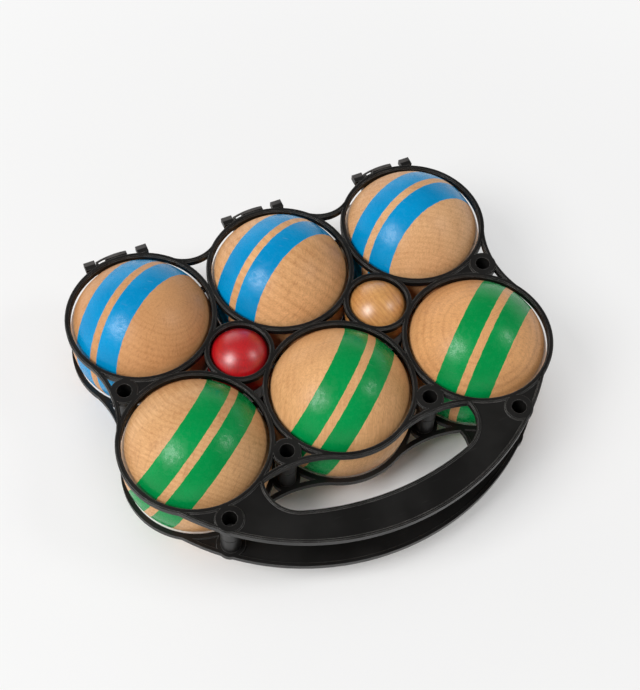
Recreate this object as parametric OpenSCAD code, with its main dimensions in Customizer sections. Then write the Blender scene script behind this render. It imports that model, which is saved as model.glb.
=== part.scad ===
// Boules set: six striped beech boules and two jacks, held between two moulded ring frames.
// Sizes are in millimetres, +Z is up and the handle points to -Y. The part stands on its boules.

/* [Boules and jacks] */
// Diameter of a boule
ball_d = 74; // [72:0.5:76]
// Free space between neighbouring boules
ball_gap = 1.7; // [1.2:0.1:3]
// Width of one painted band
band_w = 11.5; // [9:0.1:13]
// Bare wood between the two bands of a boule
band_space = 4.2; // [3:0.1:8]
// Depth of the paint in its turned groove
band_depth = 0.3; // [0.2:0.05:0.6]
// Diameter of a jack
jack_d = 33; // [32:0.1:33.1]

/* [Ring frames] */
// How much smaller than its boule a ring's opening is
ring_grip = 3; // [2:0.1:4]
// How much smaller than its jack a jack ring's opening is
jack_grip = 3.2; // [2:0.1:5]
// Width of a ring's band
ring_w = 2.6; // [2:0.1:3.2]
// Height of a ring's band
frame_h = 4; // [3:0.1:6]
// Height of the narrower crown on each band
crown_h = 0.8; // [0.4:0.1:1.4]
// How far the crown stands back from the band's sides
crown_inset = 0.5; // [0.3:0.05:0.8]
// From the middle plane to the near face of each frame
frame_rise = 13; // [12:0.1:16]
// Width of the ribs that join the rings
rib_w = 2.4; // [1.8:0.1:3.2]
// Radius of the hollow rib between two back rings
back_rib_r = 17; // [14:0.5:24]
// Radius of the hollow rib at each side
side_rib_r = 48; // [36:1:60]
// Radius of the hollow rib between two green rings, at the hand hole
front_rib_r = 54; // [44:1:64]
// How deep a rib sinks into the rings that it joins
rib_sink = 0.2; // [0.1:0.05:0.4]

/* [Handle] */
// Radius of the handle's outer rim
rim_r = 124; // [122:0.5:128]
// How far the rim reaches in front of the green row
handle_reach = 78; // [74:0.5:84]
// Width of the raised lip along the rim and round the hand hole
lip_w = 1.8; // [1.4:0.1:2.4]
// Radius of the hand hole's front side
hand_r = 134; // [126:1:140]
// Width of the bar that the hand holds
bar_w = 18; // [15:0.5:22]
// Radius of the hand hole's ends
hand_end_r = 17; // [14:0.5:18]
// From the middle to the centre of each end of the hand hole
hand_end_x = 37.5; // [30:0.5:40]
// Thickness of the deck between the lips
deck_t = 2; // [1.6:0.1:2.4]
// How deep the deck lies under the top of the lips
deck_drop = 1; // [0.6:0.1:1.4]

/* [Pillars and screws] */
// Diameter of a pillar
pillar_d = 10; // [9:0.1:11]
// Bevel round the joint between the two halves of a pillar
seam = 0.4; // [0.2:0.1:0.8]
// Diameter of the boss round each screw hole
boss_d = 14.2; // [13.4:0.1:14.6]
// How deep a boss sinks into its ring
boss_sink = 1.3; // [1:0.1:1.6]
// Diameter of a screw hole
hole_d = 7.4; // [6.8:0.1:7.8]
// Diameter of a screw's shank
screw_d = 3; // [2.5:0.1:3.5]
// Diameter of a screw's head
head_d = 6.2; // [5.4:0.1:6.4]
// Height of a screw's head
head_h = 2.2; // [1.6:0.1:2.6]
// Bevel round the top of a screw's head
head_bevel = 0.6; // [0.3:0.1:1]
// Length of each arm of the cross recess in a screw's head
drive_l = 3.4; // [2.6:0.1:3.8]
// Width of each arm of the cross recess
drive_w = 0.9; // [0.7:0.1:1.1]
// Depth of the cross recess
drive_depth = 1.3; // [0.9:0.1:1.4]
// How deep a screw bites under the middle plane
bite = 8; // [6:0.5:10]
// Plastic under a screw's head
seat_t = 3; // [2:0.1:5]

/* [Latches] */
// Width between the two lugs of a back ring
lug_space = 22.2; // [18:0.2:26]
// Width of a lug
lug_w = 5.8; // [4:0.1:7]
// Width of a latch's strap
strap_w = 16.8; // [12:0.2:18]
// Thickness of a latch's strap
strap_t = 2.2; // [1.6:0.1:2.6]
// How far the strap's bead reaches into its groove in the ring
bead_reach = 0.8; // [0.5:0.1:1]
// Height of the bead
bead_h = 1.3; // [1:0.1:1.5]
// Height of the ledge that the bead pulls on
ledge_h = 1.3; // [1:0.1:1.5]
// Length of the slot through the strap's left end
slot_l = 4; // [3:0.2:5]
// Width of the strap's end beside the slot
slot_side = 1.2; // [1:0.1:2]
// Width of the bar behind the slot
slot_bar = 1.1; // [0.9:0.1:1.4]
// Radius of a latch's knuckle
knuckle_r = 2.4; // [2.2:0.1:3]
// Diameter of a hinge pin
pin_d = 2.4; // [2:0.1:2.8]

/* [Hidden] */
$fn = 96;

// Clearance between pieces that lie beside each other
gap = 0.3;
// Clearance of a pin or a screw in its hole, on the radius
fit = 0.05;
// Overrun of a cut past the face that it opens
over = 1;

// Grid of the boules: the green row lies at y = 0, the blue row behind it
pitch = ball_d + ball_gap;
ball_r = ball_d / 2;
ball_places = [[-pitch, 0], [0, 0], [pitch, 0], [-pitch, pitch], [0, pitch], [pitch, pitch]];
back_places = [[-pitch, pitch], [0, pitch], [pitch, pitch]];
jack_places = [[-pitch / 2, pitch / 2], [pitch / 2, pitch / 2]];

// Rings
ring_r = (ball_d - ring_grip) / 2;
ring_out = ring_r + ring_w;
ring_mid = ring_r + ring_w / 2;
jack_ring_r = (jack_d - jack_grip) / 2;
jack_ring_out = jack_ring_r + ring_w;
frame_top = frame_rise + frame_h;
wall_h = frame_h - crown_h;

// A jack lies on four boules, just under the ring that holds it down
jack_z = frame_rise - gap - sqrt(pow(jack_d / 2, 2) - pow(jack_ring_r, 2));

// Pillars touch their rings, as places on the right half; the left half mirrors them
boss_r = boss_d / 2;
pillar_reach = ring_out + boss_r - boss_sink;
between = sqrt(pow(pillar_reach, 2) - pow(pitch / 2, 2));
side_pillar = [pitch + between, pitch / 2];
inner_pillar = [pitch / 2, -between];
handle_pillar = [pitch, -pillar_reach];
pillar_places = [for (p = [side_pillar, inner_pillar, handle_pillar], s = [-1, 1]) [s * p[0], p[1]]];

// Handle: centres of the rim and of the hand hole's front side, and the ends of the hole
rim_y = rim_r - handle_reach;
hand_y = hand_r - handle_reach + bar_w;
hand_end_y = hand_y - sqrt(pow(hand_r - hand_end_r, 2) - pow(hand_end_x, 2));

// Sector of the hand hole's front side, between the lines through the centres of its ends
hand_sector = [[0, hand_y], 2 * [hand_end_x, hand_end_y] - [0, hand_y],
    2 * [-hand_end_x, hand_end_y] - [0, hand_y]];

// Distances of the hollow ribs' centres from the lines between the rings that they touch
function rib_away(radius) = sqrt(pow(ring_out + radius - rib_sink, 2) - pow(pitch / 2, 2));
back_rib = [pitch / 2, pitch + rib_away(back_rib_r)];
side_rib = [pitch + rib_away(side_rib_r), pitch / 2];
front_rib = [pitch / 2, -rib_away(front_rib_r)];

// Latches, measured from the middle of their ring
strap_in = ring_out + gap;
strap_out = strap_in + strap_t;
hinge_y = ring_out + gap + knuckle_r;
hinge_z = -frame_rise - frame_h / 2;
ear_r = knuckle_r;
strap_left = -lug_space / 2 + gap;
strap_right = strap_left + strap_w;
slot_left = strap_left + slot_side;
pin_l = lug_space + 2 * lug_w;
pin_r = pin_d / 2;
bead_low = frame_rise + ledge_h + gap;

// Whole object: its box runs from the rim to the hinge ears
front = -handle_reach;
back = pitch + hinge_y + ear_r;
middle_y = (front + back) / 2;

// Turn of the bands' axis about Z and its tilt up from level, for each boule
blue_left_turn = [305, 9];
blue_middle_turn = [297.5, 11];
blue_right_turn = [289, 16.5];
green_left_turn = [308.5, -22];
green_middle_turn = [313, -17];
green_right_turn = [310.5, -0.5];

// Shift of the bands along their axis, for each boule
blue_left_shift = -3;
blue_middle_shift = -0.9;
blue_right_shift = 4.2;
green_left_shift = -3.9;
green_middle_shift = -2.4;
green_right_shift = 4.6;

plastic = [0.16, 0.155, 0.15];
steel = [0.72, 0.72, 0.74];
beech = [0.84, 0.65, 0.45];
blue = [0, 0.57, 0.84];
green = [0, 0.57, 0.31];
red = [0.75, 0.1, 0.14];
amber = [0.78, 0.57, 0.33];

// Moves the grid's frame to the object's: middle of its box, standing on the boules
module placed() {
    translate([0, -middle_y, ball_r]) children();
}

module at_each(places) {
    for (p = places) translate([p[0], p[1], 0]) children();
}

module mirrored() {
    children();
    mirror([1, 0, 0]) children();
}

// Annulus with both sides drawn in by an inset
module band_2d(inner, width, inset) {
    difference() {
        circle(r = inner + width - inset);
        circle(r = inner + inset);
    }
}

// Hollow rib that bridges two rings, between the lines from its centre to theirs
module rib_2d(centre, from, to, radius, inset) {
    intersection() {
        translate(centre) band_2d(radius, rib_w, inset);
        polygon([centre, from, to]);
    }
}

// Everything in front of a line across the handle
module in_front_of(y) {
    translate([-rim_r, y - 2 * rim_r]) square([2 * rim_r, 2 * rim_r]);
}

// Hand hole, grown by a margin; rings and ribs close its far side
module hand_hole_2d(grow) {
    intersection() {
        union() {
            intersection() {
                translate([0, hand_y]) circle(r = hand_r + grow);
                polygon(hand_sector);
            }
            for (s = [-1, 1]) translate([s * hand_end_x, hand_end_y]) circle(r = hand_end_r + grow);
        }
        in_front_of(-between);
    }
}

// Raised walls of a frame in plan: rings, ribs, bosses, the rim and the lip of the hand hole
module walls_2d(inset) {
    difference() {
        union() {
            difference() {
                hand_hole_2d(lip_w - inset);
                hand_hole_2d(inset);
            }
            intersection() {
                translate([0, rim_y]) band_2d(rim_r - lip_w, lip_w, inset);
                in_front_of(-between);
            }
            at_each(ball_places) circle(r = ring_out - inset);
            at_each(jack_places) circle(r = jack_ring_out - inset);
            at_each(pillar_places) circle(r = boss_r - inset);
            mirrored() rib_2d(back_rib, [0, pitch], [pitch, pitch], back_rib_r, inset);
            mirrored() rib_2d(side_rib, [pitch, 0], [pitch, pitch], side_rib_r, inset);
            mirrored() rib_2d(front_rib, [0, 0], [pitch, 0], front_rib_r, inset);
        }
        at_each(ball_places) circle(r = ring_r + inset);
        at_each(jack_places) circle(r = jack_ring_r + inset);
    }
}

// Thin deck in plan: the handle, and the webs behind the side pillars
module deck_2d() {
    difference() {
        union() {
            intersection() {
                translate([0, rim_y]) circle(r = rim_r - lip_w / 2);
                in_front_of(-between);
            }
            mirrored() polygon([side_pillar, [pitch, 0], [pitch, pitch]]);
        }
        at_each(ball_places) circle(r = ring_mid);
        hand_hole_2d(lip_w / 2);
    }
}

// One moulded frame above the middle plane, with a half pillar at each boss
module frame_solid() {
    translate([0, 0, frame_rise]) {
        linear_extrude(wall_h) walls_2d(0);
        linear_extrude(frame_h) walls_2d(crown_inset);
    }
    translate([0, 0, frame_top - deck_drop - deck_t]) linear_extrude(deck_t) deck_2d();
    at_each(pillar_places) {
        cylinder(d1 = pillar_d - 2 * seam, d2 = pillar_d, h = seam);
        translate([0, 0, seam]) cylinder(d = pillar_d, h = frame_rise - seam + over);
    }
}

// Lug beside a latch, on the side that points away from the boule
module lug(side) {
    translate([side * (lug_space + lug_w) / 2 - lug_w / 2, ring_mid - over, frame_rise])
        cube([lug_w, strap_out - ring_mid + over, wall_h]);
}

// Hinge ear beside a latch's knuckle, bored for the pin
module ear(side) {
    translate([side * (lug_space + lug_w) / 2 - lug_w / 2, 0, 0]) {
        difference() {
            union() {
                translate([0, ring_mid - over, -frame_top])
                    cube([lug_w, hinge_y - ring_mid + over, frame_h]);
                translate([0, hinge_y, hinge_z]) rotate([0, 90, 0]) cylinder(r = ear_r, h = lug_w);
            }
            translate([-over, hinge_y, hinge_z]) rotate([0, 90, 0])
                cylinder(r = pin_r + fit, h = lug_w + 2 * over);
        }
    }
}

// Part of an annulus that lies between two values of x
module strap_2d(inner, outer, from, to) {
    intersection() {
        difference() {
            circle(r = outer);
            circle(r = inner);
        }
        translate([from, 0]) square([to - from, outer]);
    }
}

// Groove in a back ring's outer wall for the bead of its latch
module groove() {
    translate([0, 0, bead_low - gap]) linear_extrude(bead_h + 2 * gap)
        strap_2d(ring_out - bead_reach - gap, strap_out, strap_left - gap, strap_right + gap);
}

module upper_frame() {
    color(plastic) placed() difference() {
        union() {
            frame_solid();
            at_each(back_places) for (s = [-1, 1]) lug(s);
        }
        at_each(back_places) groove();
        at_each(pillar_places) {
            translate([0, 0, seat_t]) cylinder(d = hole_d, h = frame_top + over);
            translate([0, 0, -over]) cylinder(r = screw_d / 2 + fit, h = seat_t + 2 * over);
        }
    }
}

module lower_frame() {
    color(plastic) placed() {
        difference() {
            mirror([0, 0, 1]) frame_solid();
            at_each(pillar_places) translate([0, 0, -bite - over])
                cylinder(r = screw_d / 2 + fit, h = bite + 2 * over);
        }
        at_each(back_places) for (s = [-1, 1]) ear(s);
    }
}

// Screw with a bevelled head and a cross recess, driven down from the seat in its pillar
module screw() {
    difference() {
        union() {
            translate([0, 0, -bite]) cylinder(d = screw_d, h = bite + seat_t + over);
            translate([0, 0, seat_t]) cylinder(d = head_d, h = head_h - head_bevel);
            translate([0, 0, seat_t + head_h - head_bevel])
                cylinder(d1 = head_d, d2 = head_d - 2 * head_bevel, h = head_bevel);
        }
        for (turn = [0, 90]) rotate([0, 0, turn])
            translate([-drive_l / 2, -drive_w / 2, seat_t + head_h - drive_depth])
                cube([drive_l, drive_w, drive_depth + over]);
    }
}

module frame_screws() {
    color(steel) placed() at_each(pillar_places) screw();
}

module hinge_pins() {
    color(steel) placed() at_each(back_places)
        translate([-pin_l / 2, hinge_y, hinge_z]) rotate([0, 90, 0]) cylinder(r = pin_r, h = pin_l);
}

// Latch in the frame of its ring: knuckle on the pin, curved strap with a crown, bead and slot
module latch() {
    color(plastic) placed() difference() {
        union() {
            translate([0, 0, hinge_z])
                linear_extrude(frame_rise - hinge_z) strap_2d(strap_in, strap_out, strap_left, strap_right);
            translate([0, 0, frame_rise]) {
                linear_extrude(wall_h) strap_2d(strap_in, strap_out, strap_left, strap_right);
                linear_extrude(frame_h) strap_2d(strap_in, strap_out - crown_inset,
                    strap_left + crown_inset, strap_right - crown_inset);
            }
            translate([0, 0, bead_low]) linear_extrude(bead_h)
                strap_2d(ring_out - bead_reach, strap_in + strap_t / 2, strap_left, strap_right);
            translate([strap_left, hinge_y, hinge_z]) rotate([0, 90, 0])
                cylinder(r = knuckle_r, h = -2 * strap_left);
        }
        translate([strap_left - over, hinge_y, hinge_z]) rotate([0, 90, 0])
            cylinder(r = pin_r + fit, h = 2 * (over - strap_left));
        translate([0, 0, frame_rise]) linear_extrude(frame_h + over)
            strap_2d(ring_r, strap_out - slot_bar, slot_left, slot_left + slot_l);
        translate([0, 0, frame_rise]) linear_extrude(frame_h - slot_bar)
            strap_2d(ring_r, strap_out + over, slot_left, slot_left + slot_l);
    }
}

module latch_left() { translate([-pitch, pitch, 0]) latch(); }
module latch_middle() { translate([0, pitch, 0]) latch(); }
module latch_right() { translate([pitch, pitch, 0]) latch(); }

// Half section of the two painted bands, in the plane of their axis
module bands_profile(shift) {
    intersection() {
        difference() {
            circle(r = ball_r);
            circle(r = ball_r - band_depth);
        }
        for (s = [-1, 1]) translate([0, shift + s * (band_space + band_w) / 2 - band_w / 2])
            square([ball_r, band_w]);
    }
}

// Turns the axis of the bands to where it lies in its ring
module turned(turn) {
    rotate([0, 90 - turn[1], turn[0]]) children();
}

module boule(place, turn, shift) {
    color(beech) placed() translate([place[0], place[1], 0]) turned(turn) rotate_extrude() difference() {
        intersection() {
            circle(r = ball_r);
            translate([0, -ball_r]) square([ball_r, ball_d]);
        }
        bands_profile(shift);
    }
}

module bands(place, turn, shift) {
    placed() translate([place[0], place[1], 0]) turned(turn) rotate_extrude() bands_profile(shift);
}

module ball_blue_left() { boule([-pitch, pitch], blue_left_turn, blue_left_shift); }
module ball_blue_middle() { boule([0, pitch], blue_middle_turn, blue_middle_shift); }
module ball_blue_right() { boule([pitch, pitch], blue_right_turn, blue_right_shift); }
module ball_green_left() { boule([-pitch, 0], green_left_turn, green_left_shift); }
module ball_green_middle() { boule([0, 0], green_middle_turn, green_middle_shift); }
module ball_green_right() { boule([pitch, 0], green_right_turn, green_right_shift); }

module bands_blue_left() { color(blue) bands([-pitch, pitch], blue_left_turn, blue_left_shift); }
module bands_blue_middle() { color(blue) bands([0, pitch], blue_middle_turn, blue_middle_shift); }
module bands_blue_right() { color(blue) bands([pitch, pitch], blue_right_turn, blue_right_shift); }
module bands_green_left() { color(green) bands([-pitch, 0], green_left_turn, green_left_shift); }
module bands_green_middle() { color(green) bands([0, 0], green_middle_turn, green_middle_shift); }
module bands_green_right() { color(green) bands([pitch, 0], green_right_turn, green_right_shift); }

module jack(place) {
    placed() translate([place[0], place[1], jack_z]) sphere(d = jack_d);
}

module jack_red() { color(red) jack(jack_places[0]); }
module jack_natural() { color(amber) jack(jack_places[1]); }

upper_frame();
lower_frame();
frame_screws();
hinge_pins();
latch_left();
latch_middle();
latch_right();
ball_blue_left();
ball_blue_middle();
ball_blue_right();
ball_green_left();
ball_green_middle();
ball_green_right();
bands_blue_left();
bands_blue_middle();
bands_blue_right();
bands_green_left();
bands_green_middle();
bands_green_right();
jack_red();
jack_natural();
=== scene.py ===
# %% [markdown]
# # A set of striped boules in its carrier
# Six turned beech boules and two jacks sit between two moulded frames that share a handle.
# The frame of the object comes from CAD, where every round wall is exact. This scene keeps those
# solids and gives each of them the finish of the real thing. The patterns are worked out by shader
# nodes in the solids' own coordinates, so that they turn with a boule and stay sharp close up.

# %% Load the frame
import math
import bpy
import numpy as np
from mathutils import Matrix, Vector


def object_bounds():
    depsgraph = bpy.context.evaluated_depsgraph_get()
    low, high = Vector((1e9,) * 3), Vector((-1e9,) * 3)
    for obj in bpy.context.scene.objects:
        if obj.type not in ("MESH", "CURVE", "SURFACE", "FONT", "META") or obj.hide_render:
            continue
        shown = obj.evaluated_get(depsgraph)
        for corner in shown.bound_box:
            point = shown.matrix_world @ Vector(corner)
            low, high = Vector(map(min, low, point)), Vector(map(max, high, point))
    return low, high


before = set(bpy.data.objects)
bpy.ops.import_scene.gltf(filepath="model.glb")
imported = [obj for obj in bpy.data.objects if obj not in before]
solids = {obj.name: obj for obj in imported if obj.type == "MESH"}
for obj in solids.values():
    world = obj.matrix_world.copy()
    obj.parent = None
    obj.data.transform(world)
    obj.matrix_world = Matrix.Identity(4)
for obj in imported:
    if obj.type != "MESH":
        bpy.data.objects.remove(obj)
cad_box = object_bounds()
print(len(solids), "solids, box", [tuple(round(v, 4) for v in corner) for corner in cad_box])

# %% [markdown]
# ## Camera
# The photograph was taken from above the handle's left end. A camera that looks at a point on the
# floor is easy to describe: two angles, a roll about the line of sight, a distance and a lens. The
# three axes of the camera are worked out from those, which is clearer than three Euler angles.

# %% Camera
azimuth, elevation, roll = (math.radians(v) for v in (-27.198, 59.287, 4.042))
aim = Vector((0.014715, 0.033141, 0.0))
distance = 0.713441
focal_px, frame_px, sensor_mm = 1308.925, 690, 36.0

sight = Vector((math.sin(azimuth) * math.cos(elevation), -math.cos(azimuth) * math.cos(elevation),
                math.sin(elevation)))
level = Vector((math.cos(azimuth), math.sin(azimuth), 0.0))
upright = sight.cross(level)
turned = (math.cos(roll) * level + math.sin(roll) * upright,
          math.cos(roll) * upright - math.sin(roll) * level, sight)
camera_data = bpy.data.cameras.new("camera")
camera_data.sensor_width = sensor_mm
camera_data.lens = focal_px * sensor_mm / frame_px
camera = bpy.data.objects.new("camera", camera_data)
stands_at = Matrix.Translation(aim + sight * distance)
camera.matrix_world = stands_at @ Matrix(turned).transposed().to_4x4()
scene = bpy.context.scene
scene.collection.objects.link(camera)
scene.camera = camera
print("camera lens", round(camera_data.lens, 1), "mm")

# %% [markdown]
# ## Helpers for shader nodes
# A material is a small program, and most of its lines add a node, set it and join it to others.
# One helper does all three, and the others name the few nodes that are used most, so that a finish
# reads like a sum. A colour is easier to judge as it looks on a screen, so the last helper turns
# screen values into the linear values that the shader works in.

# %% Helpers that add nodes
def fill(tree, node, inputs):
    """Joins each input to another node's socket, or sets it to a value."""
    for key, value in inputs.items():
        if isinstance(value, bpy.types.NodeSocket):
            tree.links.new(value, node.inputs[key])
        else:
            node.inputs[key].default_value = value


def put(tree, kind, inputs, **settings):
    """Adds a node, applies its settings and fills its inputs."""
    made = tree.nodes.new(kind)
    for key, value in settings.items():
        setattr(made, key, value)
    fill(tree, made, inputs)
    return made


def calc(tree, operation, a, b=0.0, clamp=False):
    """One sum, product or comparison of two numbers."""
    made = put(tree, "ShaderNodeMath", {0: a, 1: b}, operation=operation, use_clamp=clamp)
    return made.outputs[0]


def plus(tree, a, b):
    """a + b"""
    return calc(tree, "ADD", a, b)


def minus(tree, a, b):
    """a - b"""
    return calc(tree, "SUBTRACT", a, b)


def times(tree, a, b):
    """a * b"""
    return calc(tree, "MULTIPLY", a, b)


print("helpers:", ", ".join(made.__name__ for made in (fill, put, calc, plus, minus, times)))

# %% Helpers for patterns and colours
def ramp(tree, value, low, high, to_low=0.0, to_high=1.0):
    """Smooth step: to_low where the value is under low, to_high where it is over high."""
    spans = {"Value": value, "From Min": low, "From Max": high, "To Min": to_low, "To Max": to_high}
    return put(tree, "ShaderNodeMapRange", spans, interpolation_type="SMOOTHSTEP").outputs["Result"]


def noise(tree, point, scale, detail, **more):
    """Noise from 0 to 1; a larger scale makes it finer, and detail adds finer waves to it."""
    inputs = {"Vector": point, "Scale": scale, "Detail": detail, **more}
    return put(tree, "ShaderNodeTexNoise", inputs).outputs[0]


def relief(tree, height, strength, depth, **more):
    """Normals of a relief that is this deep, in metres."""
    inputs = {"Height": height, "Strength": strength, "Distance": depth, **more}
    return put(tree, "ShaderNodeBump", inputs).outputs["Normal"]


def blend(tree, share, a, b):
    """Mixes two colours by a share."""
    return put(tree, "ShaderNodeMix", {0: share, 6: a, 7: b}, data_type="RGBA").outputs[2]


def shade(*rgb):
    """Screen values from 0 to 255 as a linear colour."""
    linear = [v / 255 / 12.92 if v <= 10 else ((v / 255 + 0.055) / 1.055) ** 2.4 for v in rgb]
    return (*linear, 1.0)


print("black plastic is", [round(v, 4) for v in shade(18, 17, 16)[:3]])

# %% [markdown]
# ## Groups that several finishes share
# Every moulded or turned edge has a small round that catches the light. Modelling it on each rim
# would cost many faces, so a Bevel node turns the normals near an edge instead. How far it turns them
# also tells where an edge is, and there the plastic gets a painted highlight line.

# %% Group: rounded edges
def new_group(name, inputs, outputs):
    """Node group with named sockets; inputs are (name, kind, value), outputs are (name, kind)."""
    tree = bpy.data.node_groups.new(name, "ShaderNodeTree")
    for label, kind, value in inputs:
        socket = tree.interface.new_socket(label, in_out="INPUT", socket_type="NodeSocket" + kind)
        socket.default_value = value
    for label, kind in outputs:
        tree.interface.new_socket(label, in_out="OUTPUT", socket_type="NodeSocket" + kind)
    return tree, tree.nodes.new("NodeGroupInput").outputs, tree.nodes.new("NodeGroupOutput")


barely_turned, fully_turned = 0.995, 0.86  # cosines of the angle by which the normal is turned
edge_group, given, result = new_group("rounded edges", [("Radius", "Float", 0.0003)],
                                      [("Normal", "Vector"), ("Edge", "Float")])
rounded = put(edge_group, "ShaderNodeBevel", {"Radius": given["Radius"]}, samples=6).outputs["Normal"]
surface = edge_group.nodes.new("ShaderNodeNewGeometry").outputs["Normal"]
same = put(edge_group, "ShaderNodeVectorMath", {0: rounded, 1: surface}, operation="DOT_PRODUCT")
near_edge = ramp(edge_group, same.outputs["Value"], barely_turned, fully_turned)
fill(edge_group, result, {"Normal": rounded, "Edge": near_edge})
print("rounded edges:", len(edge_group.nodes), "nodes")

# %% [markdown]
# Fine scratches are long and thin. A noise that is squeezed along one direction gives such lines,
# and a second, wide noise keeps them to a few patches, as things rub only where they touch.

# %% Group: fine scratches
squeeze = (90, 2600, 90)
scratch_group, given, result = new_group("fine scratches", [("Point", "Vector", (0, 0, 0))],
                                         [("Mask", "Float")])
lines = []
for number, turn in enumerate(((0.4, 0.9, 0.3), (1.2, 0.2, 2.1))):
    laid = put(scratch_group, "ShaderNodeMapping",
               {"Vector": given["Point"], "Rotation": turn, "Scale": squeeze}).outputs["Vector"]
    streak = put(scratch_group, "ShaderNodeTexNoise",
                 {"Vector": laid, "W": number, "Scale": 1, "Detail": 1}, noise_dimensions="4D")
    lines.append(ramp(scratch_group, streak.outputs[0], 0.7, 0.74))
patch = ramp(scratch_group, noise(scratch_group, given["Point"], 70, 1), 0.5, 0.6)
either = calc(scratch_group, "MAXIMUM", lines[0], lines[1])
fill(scratch_group, result, {"Mask": times(scratch_group, either, patch)})
print("fine scratches:", len(scratch_group.nodes), "nodes")

# %% [markdown]
# ## Beech, from how a tree grows
# A turned ball shows the inside of a trunk from every side at once, so its grain is best made as a
# solid: each point asks how far it lies from the pith, at what angle and how high up the trunk.
# Yearly rings follow the distance. Fibres are long along the trunk. Rays are thin sheets that run
# out from the pith, so the same pattern gives the short flecks on one side, wide flakes on another
# and fine spokes on the end grain, exactly as beech does.

# %% Group: turned beech
mm_per_m = 1000
sway_mm = 2.5
wood_group, given, result = new_group("turned beech", [
    ("Point", "Vector", (0, 0, 0)), ("Pith", "Vector", (0, 60, 0)), ("Ring width", "Float", 2.6),
    ("Rings", "Float", 0.4), ("Rays", "Float", 0.3), ("Ray count", "Float", 90),
    ("Pale", "Color", shade(232, 180, 126)), ("Dark", "Color", shade(199, 140, 88)),
    ("Fleck", "Color", shade(176, 116, 72))],
    [("Color", "Color"), ("Roughness", "Float"), ("Height", "Float")])


def scaled(tree, vector, factor):
    """A vector made longer by a factor."""
    return put(tree, "ShaderNodeVectorMath", {0: vector, "Scale": factor},
               operation="SCALE").outputs[0]


def moved(tree, operation, vector, way):
    """The sum or difference of two vectors."""
    return put(tree, "ShaderNodeVectorMath", {0: vector, 1: way}, operation=operation).outputs[0]


in_mm = scaled(wood_group, given["Point"], mm_per_m)
sway = put(wood_group, "ShaderNodeTexNoise", {"Vector": in_mm, "Scale": 0.04, "Detail": 2})
sway = moved(wood_group, "SUBTRACT", sway.outputs["Color"], (0.5, 0.5, 0.5))
grown = moved(wood_group, "ADD", in_mm, scaled(wood_group, sway, sway_mm))
grown = moved(wood_group, "SUBTRACT", grown, given["Pith"])
across, aside, along = put(wood_group, "ShaderNodeSeparateXYZ", {0: grown}).outputs
squares = plus(wood_group, times(wood_group, across, across), times(wood_group, aside, aside))
out = calc(wood_group, "SQRT", squares)
round_pith = calc(wood_group, "ARCTAN2", aside, across)
print("pith, rings and rays are measured from", len(wood_group.nodes), "nodes")

# %% Rings, fibres and rays
late_in_year = 0.6  # place of the dark late wood in a yearly ring


def stretched_noise(tree, x, y, z, detail):
    """Noise whose grain is as fine along each axis as that axis was stretched."""
    spot = put(tree, "ShaderNodeCombineXYZ", {0: x, 1: y, 2: z}).outputs[0]
    return noise(tree, spot, 1, detail)


year = calc(wood_group, "FRACT", calc(wood_group, "DIVIDE", out, given["Ring width"]))
from_late = calc(wood_group, "ABSOLUTE", minus(wood_group, year, late_in_year))
strong_years = stretched_noise(wood_group, times(wood_group, out, 0.3), 0.0, 0.0, 1)
late_wood = times(wood_group, ramp(wood_group, from_late, 0.4, 0.0),
                  ramp(wood_group, strong_years, 0.3, 0.7, 0.35, 1.0))
late_wood = times(wood_group, late_wood, ramp(wood_group, out, 5, 18))
fibre = stretched_noise(wood_group, times(wood_group, across, 1.6), times(wood_group, aside, 1.6),
                        times(wood_group, along, 0.09), 3)
ray = stretched_noise(wood_group, times(wood_group, out, 0.11),
                      times(wood_group, round_pith, given["Ray count"]),
                      times(wood_group, along, 0.6), 2)
fleck = times(wood_group, ramp(wood_group, ray, 0.5, 0.75), given["Rays"])
print("rings, fibres and rays:", len(wood_group.nodes), "nodes so far")

# %% Colour, gloss and relief of the beech
cloud = ramp(wood_group, noise(wood_group, in_mm, 0.05, 3), 0.3, 0.7, -0.05, 0.3)
tone = plus(wood_group, times(wood_group, late_wood, given["Rings"]),
            ramp(wood_group, fibre, 0.3, 0.72, 0.0, 0.42))
tone = calc(wood_group, "ADD", tone, cloud, clamp=True)
color = blend(wood_group, tone, given["Pale"], given["Dark"])
color = blend(wood_group, fleck, color, given["Fleck"])
rough = plus(wood_group, ramp(wood_group, fibre, 0.3, 0.7, 0.36, 0.46),
             times(wood_group, fleck, 0.06))
sunk = plus(wood_group, times(wood_group, ray, 0.6), times(wood_group, late_wood, 0.2))
fill(wood_group, result, {"Color": color, "Roughness": rough,
                          "Height": minus(wood_group, fibre, sunk)})
print("turned beech:", len(wood_group.nodes), "nodes")

# %% [markdown]
# ## Painted bands
# The bands were painted while the boule turned on a lathe. Their edges are true circles that waver
# by up to a tenth of a millimetre where the paint crept along the fibres. The group measures how far
# a point lies outside the nearest band and adds that small waver. Wood and paint use the same group,
# so the edge runs unbroken from one solid to the other.

# %% Group: painted bands
waver_mm, soft_edge_mm = 0.1, 0.06
band_group, given, result = new_group("painted bands", [
    ("Point", "Vector", (0, 0, 0)), ("Middle", "Float", 0), ("Centre of band", "Float", 8),
    ("Half width", "Float", 5)], [("Painted", "Float"), ("Turning", "Float")])
in_mm = scaled(band_group, given["Point"], mm_per_m)
along_axis = put(band_group, "ShaderNodeSeparateXYZ", {0: in_mm}).outputs["Z"]
from_middle = calc(band_group, "ABSOLUTE", minus(band_group, along_axis, given["Middle"]))
from_band = calc(band_group, "ABSOLUTE", minus(band_group, from_middle, given["Centre of band"]))
outside = minus(band_group, from_band, given["Half width"])
creep = ramp(band_group, noise(band_group, in_mm, 0.35, 4), 0.3, 0.7, -waver_mm, waver_mm)
painted = ramp(band_group, plus(band_group, outside, creep), soft_edge_mm, -soft_edge_mm)
turning = stretched_noise(band_group, times(band_group, along_axis, 2.6), 0.0, 0.0, 2)
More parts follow.
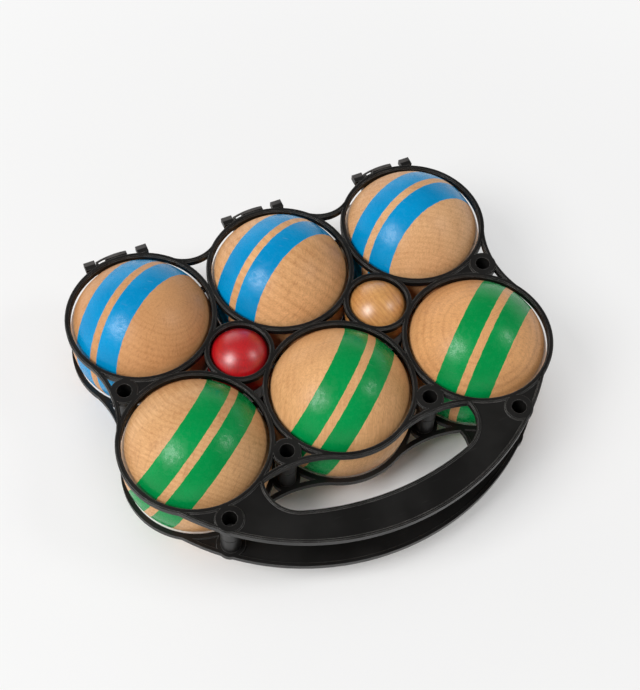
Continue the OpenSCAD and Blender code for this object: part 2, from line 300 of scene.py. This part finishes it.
fill(band_group, result, {"Painted": painted, "Turning": turning})
print("painted bands:", len(band_group.nodes), "nodes")

# %% [markdown]
# ## Black moulded plastic
# The frames and latches are one satin plastic, moulded with a very fine grain. Light slides along it
# in a soft sheen that is not quite even, because the tool's polish is not. Every rim has a painted
# highlight, a thin pale line that is also a little smoother than the flat deck. The latches and their
# lugs stand behind the rings, and all plastic that lies so far back is paler grey and duller.

# %% Materials, and groups placed in them
def new_material(name):
    """Material with its shader, and the point's place in the solid's own coordinates."""
    made = bpy.data.materials.new(name)
    made.use_nodes = True
    tree = made.node_tree
    spot = tree.nodes.new("ShaderNodeTexCoord").outputs["Object"]
    return made, tree, tree.nodes["Principled BSDF"], spot


def place(tree, group, **inputs):
    """Places a group in a material and fills its sockets; an underscore stands for a space."""
    inputs = {key.replace("_", " "): value for key, value in inputs.items()}
    return put(tree, "ShaderNodeGroup", inputs, node_tree=group).outputs


def dress(names, finish):
    """Gives CAD solids their finish."""
    for name in names:
        solids[name].data.materials.clear()
        solids[name].data.materials.append(finish)
    print(", ".join(names), "in", finish.name)


print("solids to dress:", ", ".join(sorted(solids)))

# %% Moulded plastic
round_m, grain_depth = 0.0003, 0.00003
rings_end, lugs_start = 0.0932, 0.0938  # metres behind the middle of the object
plastic, tree, shader, spot = new_material("black moulded plastic")
edge = place(tree, edge_group, Radius=round_m)
scratched = place(tree, scratch_group, Point=spot)["Mask"]
flow = noise(tree, spot, 42, 3)
patch_noise = noise(tree, spot, 160, 3)
# Painted highlight along the edges, in patches: a pale grey line that is also a little smoother.
edge_highlight = times(tree, edge["Edge"], ramp(tree, patch_noise, 0.35, 0.65, 0.5, 1.0))
far_back = put(tree, "ShaderNodeSeparateXYZ", {0: spot}).outputs["Y"]
# Plastic behind the rings, on the latches and their lugs, is paler grey and duller, in patches.
paler_at_back = times(tree, ramp(tree, far_back, rings_end, lugs_start),
                ramp(tree, patch_noise, 0.25, 0.7, 0.55, 1.0))
body = blend(tree, ramp(tree, flow, 0.3, 0.7), shade(18, 17, 16), shade(27, 26, 25))
body = blend(tree, paler_at_back, body, shade(82, 80, 79))
body = blend(tree, edge_highlight, body, shade(122, 120, 117))
body = blend(tree, times(tree, scratched, 0.25), body, shade(70, 69, 67))
rough = plus(tree, ramp(tree, flow, 0.3, 0.7, 0.36, 0.46), times(tree, scratched, 0.12))
rough = plus(tree, rough, times(tree, paler_at_back, 0.15))
rough = minus(tree, rough, times(tree, edge_highlight, 0.1))
grain = relief(tree, noise(tree, spot, 2400, 2), 0.5, grain_depth, Normal=edge["Normal"])
fill(tree, shader, {"Base Color": body, "Roughness": rough, "Specular IOR Level": 0.3,
                    "Normal": grain})
dress(["upper_frame", "lower_frame", "latch_left", "latch_middle", "latch_right"], plastic)

# %% [markdown]
# ## Steel
# Screws and hinge pins are plain plated steel. Steel made this cheaply is not a mirror: the drawing
# of the wire and the turning of the head leave fine lines, and the plating is a little cloudy.

# %% Plated steel
round_m, line_depth = 0.0002, 0.00001
steel, tree, shader, spot = new_material("plated steel")
cloudy = noise(tree, spot, 500, 4)
drawn = put(tree, "ShaderNodeMapping", {"Vector": spot, "Scale": (60, 5200, 5200)}).outputs["Vector"]
edge = place(tree, edge_group, Radius=round_m)
tone = blend(tree, ramp(tree, cloudy, 0.35, 0.65), shade(142, 141, 138), shade(172, 172, 170))
tone = blend(tree, times(tree, edge["Edge"], 0.6), tone, shade(205, 205, 203))
rough = ramp(tree, cloudy, 0.3, 0.7, 0.26, 0.42)
lines = relief(tree, noise(tree, drawn, 1, 2), 0.3, line_depth, Normal=edge["Normal"])
fill(tree, shader, {"Base Color": tone, "Roughness": rough, "Metallic": 1.0, "Normal": lines})
dress(["frame_screws", "hinge_pins"], steel)

# %% [markdown]
# ## Where each boule's axis points
# The bands go round the axis on which the boule was turned, and each boule lies turned another way.
# The axis needn't be typed: the points of a pair of bands spread least along it, so it is the weakest
# direction of their covariance. From the axis come a rotation that stands it upright and the bands'
# places along it, which feed a Mapping node and the group of the painted bands.

# %% Axis and bands of a boule
boule_radius = (cad_box[1][2] - cad_box[0][2]) / 2
boules = [f"{color}_{side}" for color in ("blue", "green") for side in ("left", "middle", "right")]


def points_of(name):
    """Points of a solid as an array, one row each."""
    mesh = solids[name].data
    flat = np.empty(len(mesh.vertices) * 3)
    mesh.vertices.foreach_get("co", flat)
    return flat.reshape(-1, 3)


def lathe_axis(boule):
    """Centre of a boule and the rotation that turns its axis upright; then, in mm along the axis,
    the middle between its bands, and how far from it a band's centre lies, and half its width."""
    ball, bands = points_of("ball_" + boule), points_of("bands_" + boule)
    centre = (ball.min(axis=0) + ball.max(axis=0)) / 2
    centre[2] = boule_radius
    axis = np.linalg.eigh(np.cov((bands - centre).T))[1][:, 0]
    axis = axis if axis[1] < 0 else -axis
    height = (bands - centre) @ axis * mm_per_m
    low, high = height.min(), height.max()
    middle = (low + high) / 2
    inner = np.abs(height - middle).min()
    stand = Vector(axis).rotation_difference(Vector((0, 0, 1))).to_matrix()
    return Vector(centre), stand, middle, (inner + high - middle) / 2, (high - middle - inner) / 2


for boule in boules:
    measured = [round(float(v), 2) for v in lathe_axis(boule)[2:]]
    print(boule, "middle, centre and half width of a band:", measured, "mm")

# %% [markdown]
# ## The boules
# The wood and the paint of a boule are worked out in one way and split by the painted mask, so that
# they meet in one line. Each boule was cut from another place in a trunk. One vector says which way
# the trunk stood, and one says where its pith ran, which may be far outside the ball. Rings near the
# pith show as circles round the end grain, and rings far from it as almost straight lines.

# %% The trunk that a piece was cut from
# Way of the trunk, place of the pith in mm, width of a ring in mm, strength of rings, strength of
# rays, number of rays, and pale wood
trunk = {
    "blue_left": ((0.29, -0.2, 0.94), (1, 2, 0), 2.2, 0.34, 0.35, 22, (227, 169, 116)),
    "blue_middle": ((0.34, -0.93, 0.1), (-134, -56, -66), 4.2, 0.3, 0.3, 150, (249, 192, 135)),
    "blue_right": ((-0.23, -0.45, 0.86), (-23, -56, -36), 2.7, 0.2, 0.26, 34, (245, 193, 141)),
    "green_left": ((0.1, -0.78, 0.62), (-80, -60, -60), 2.4, 0.3, 0.35, 80, (238, 187, 132)),
    "green_middle": ((0.3, 0.5, 0.81), (70, -60, 10), 2.8, 0.14, 0.25, 90, (245, 190, 132)),
    "green_right": ((-0.19, -0.2, 0.96), (3, 2, 0), 3.3, 0.3, 0.35, 20, (243, 182, 122))}


def laid_out(tree, spot, centre, turn):
    """The point seen from a centre, after a turn."""
    return put(tree, "ShaderNodeMapping", {"Vector": spot, "Rotation": turn.to_euler("XYZ"),
                                           "Location": -(turn @ centre)}).outputs["Vector"]


def cut_beech(tree, spot, centre, way, pith, **looks):
    """Beech of a piece about this centre, and the point in the trunk's own axes."""
    turn = Vector(way).rotation_difference(Vector((0, 0, 1))).to_matrix()
    in_trunk = laid_out(tree, spot, centre, turn)
    return place(tree, wood_group, Point=in_trunk, Pith=turn @ Vector(pith), **looks), in_trunk


print(len(trunk), "places in a trunk")

# %% [markdown]
# The paint is thin, so the wood's relief still shows in it, softer, along with the faint circles that
# the brush left as the boule turned. Its gloss is broken up by fine scuffs, where boules have knocked
# together and lain in sand, so the lamps' reflections have soft, speckled edges.

# %% Finish of a boule
wood_depth = 0.00008
paint = {"blue": (shade(0, 145, 205), shade(0, 155, 216)),
         "green": (shade(0, 145, 70), shade(0, 156, 78))}


def finish_boule(boule):
    """Finishes of the wood and of the painted bands: one pattern, and paint that is smoother."""
    centre, stand, middle, band_centre, half_width = lathe_axis(boule)
    way, pith, ring_width, rings, rays, ray_count, pale = trunk[boule]
    thin, thick = paint[boule.split("_")[0]]
    for part, shine in (("ball", 0.3), ("bands", 0.24)):
        made, tree, shader, spot = new_material(f"{boule.replace('_', ' ')} {part}")
        on_lathe = laid_out(tree, spot, centre, stand)
        beech = cut_beech(tree, spot, centre, way, pith, Ring_width=ring_width, Rings=rings,
                          Rays=rays, Ray_count=ray_count, Pale=shade(*pale))[0]
        bands = place(tree, band_group, Point=on_lathe, Middle=middle, Centre_of_band=band_centre,
                      Half_width=half_width)
        painted = bands["Painted"]
        scratched = place(tree, scratch_group, Point=on_lathe)["Mask"]
        streaky = plus(tree, noise(tree, spot, 60, 4), times(tree, bands["Turning"], 0.4))
        coat = blend(tree, ramp(tree, streaky, 0.5, 0.9), thin, thick)
        coat = blend(tree, times(tree, scratched, 0.15), coat, shade(190, 205, 205))
        scuffed = ramp(tree, noise(tree, on_lathe, 420, 3, Roughness=0.6), 0.46, 0.66)
        rough = plus(tree, beech["Roughness"], times(tree, scratched, 0.15))
        rough = plus(tree, rough, times(tree, times(tree, scuffed, painted), 0.2))
        rough = minus(tree, rough, times(tree, painted, 0.18))
        bare = minus(tree, 1.0, times(tree, painted, 0.4))
        brushed = times(tree, bands["Turning"], painted)
        height = plus(tree, times(tree, beech["Height"], bare), times(tree, brushed, 0.4))
        height = minus(tree, height, times(tree, scratched, 0.5))
        fill(tree, shader, {"Base Color": blend(tree, painted, beech["Color"], coat),
                            "Roughness": rough, "Specular IOR Level": shine,
                            "Normal": relief(tree, height, 0.7, wood_depth)})
        dress([f"{part}_{boule}"], made)


for boule in boules:
    finish_boule(boule)

# %% [markdown]
# ## The jacks
# A jack is too small to be painted in bands. One is dipped in red lacquer, which lets a little of the
# end grain show where the lathe's centre held it. The other has clear varnish that turns the beech
# to amber. Both shine more than the boules, in two wide soft spots, so a thick coat lies over wood
# whose own shine is duller.

# %% Lacquered jacks
jack_depth = 0.0001


def finish_jack(name, way, pith, colors, ring_width, rings, rays):
    """Turned wood under a thick coat; the colours are of pale wood, late wood and rays."""
    made, tree, shader, spot = new_material(name.replace("_", " ") + " lacquer")
    spread = points_of(name)
    centre = Vector((spread.min(axis=0) + spread.max(axis=0)) / 2)
    pale, dark, fleck = (shade(*c) for c in colors)
    beech, in_trunk = cut_beech(tree, spot, centre, way, pith, Ring_width=ring_width, Rings=rings,
                                Rays=rays, Ray_count=40, Pale=pale, Dark=dark, Fleck=fleck)
    scratched = place(tree, scratch_group, Point=in_trunk)["Mask"]
    rough = plus(tree, times(tree, beech["Roughness"], 0.95), times(tree, scratched, 0.15))
    color = blend(tree, times(tree, scratched, 0.2), beech["Color"], pale)
    fill(tree, shader, {"Base Color": color, "Roughness": rough, "Specular IOR Level": 0.3,
                        "Normal": relief(tree, beech["Height"], 0.7, jack_depth),
                        "Coat Weight": 1.0, "Coat IOR": 1.65, "Coat Roughness": 0.35})
    dress([name], made)


red = ((208, 9, 22), (158, 4, 12), (140, 3, 9))
amber = ((236, 176, 106), (190, 122, 62), (166, 104, 54))
finish_jack("jack_red", (0.2, 0.27, 0.94), (0, 0, 0), red, 2.2, 0.5, 0.5)
finish_jack("jack_natural", (0.33, -0.87, -0.37), (-40, -30, -20), amber, 2.4, 0.34, 0.12)

# %% [markdown]
# ## Floor
# The photograph was taken on a white table. The floor must look white without more light on the
# object. Its own colour is pale, and to the camera and to mirrors a share of it is plain white, while
# the rest keeps the object's shadow. The share shrinks where little sky reaches the floor, so the
# gaps under the boules stay dark. It grows to all of it far from the object, where the floor meets a
# world that is as white, so no horizon shows.

# %% Floor
studio_white = 0.98
near, far, near_share, sky_reach = 0.12, 0.6, 0.6, 0.05


def seen_directly(tree):
    """1 for rays from the camera, a mirror or glass, and 0 for light on its way to the object."""
    rays = tree.nodes.new("ShaderNodeLightPath").outputs
    seen = plus(tree, rays["Is Camera Ray"], rays["Is Glossy Ray"])
    return calc(tree, "ADD", seen, rays["Is Transmission Ray"], clamp=True)


bpy.ops.mesh.primitive_plane_add(size=8)
floor = bpy.context.object
floor.name = "floor"
table, tree, shader, spot = new_material("white table")
fill(tree, shader, {"Base Color": (0.93, 0.928, 0.92, 1), "Roughness": 0.8})
white = {"Color": (1, 1, 1, 1), "Strength": studio_white}
white = put(tree, "ShaderNodeEmission", white).outputs[0]
open_sky = put(tree, "ShaderNodeAmbientOcclusion", {"Distance": sky_reach}, samples=8).outputs["AO"]
from_object = put(tree, "ShaderNodeVectorMath", {0: spot}, operation="LENGTH").outputs["Value"]
share = times(tree, ramp(tree, from_object, near, far, near_share, 1.0),
              ramp(tree, open_sky, 0.35, 0.9))
share = times(tree, seen_directly(tree), share)
mixed = put(tree, "ShaderNodeMixShader", {0: share, 1: shader.outputs[0], 2: white}).outputs[0]
fill(tree, tree.nodes["Material Output"], {"Surface": mixed})
floor.data.materials.append(table)
print(floor.name, "in", table.name)

# %% [markdown]
# ## Light
# Two soft boxes stand left and right of the table. Their two reflections lie on every boule, and
# halfway between the line of sight and the way to a lamp lies the normal at its reflection, which
# tells where the lamp stands. The left box is the stronger, as the boules' right sides are darker.
# A low, wide panel behind gives the pale edge on the boules' far sides. The world fills the shadows,
# and it is dimmer overhead, so that no veil lies over the paint.

# %% Lamps
away = 2.4


def soft_box(name, direction, size, share):
    """Square lamp that gives a white card which faces it this share of full white."""
    toward = Vector(direction).normalized()
    data = bpy.data.lights.new(name, "AREA")
    data.shape = "SQUARE"
    data.size = size
    data.energy = share * (math.pi * away) ** 2
    lamp = bpy.data.objects.new(name, data)
    turn = toward.to_track_quat("Z", "Y").to_matrix().to_4x4()
    lamp.matrix_world = Matrix.Translation(toward * away) @ turn
    scene.collection.objects.link(lamp)
    print(name, round(data.energy, 1), "W")


soft_box("left soft box", (-0.65, -0.06, 0.755), 1.1, 0.8)
soft_box("right soft box", (0.64, -0.28, 0.72), 0.58, 0.18)
soft_box("panel behind", (0.0, 0.93, 0.37), 1.8, 0.1)

# %% World
level_light, overhead_light = 0.26, 0.12
world = bpy.data.worlds.new("white studio")
scene.world = world
world.use_nodes = True
sky = world.node_tree
toward_sky = sky.nodes.new("ShaderNodeTexCoord").outputs["Generated"]
way_up = put(sky, "ShaderNodeSeparateXYZ", {0: toward_sky}).outputs["Z"]
backdrop = times(sky, seen_directly(sky), ramp(sky, way_up, 0.45, 0.2, 0.0, studio_white))
light = ramp(sky, way_up, 0.0, 0.8, level_light, overhead_light)
fill(sky, sky.nodes["Background"], {"Color": (1, 1, 1, 1),
                                    "Strength": calc(sky, "MAXIMUM", light, backdrop)})
scene.view_settings.view_transform = "Standard"
print("world:", len(sky.nodes), "nodes")
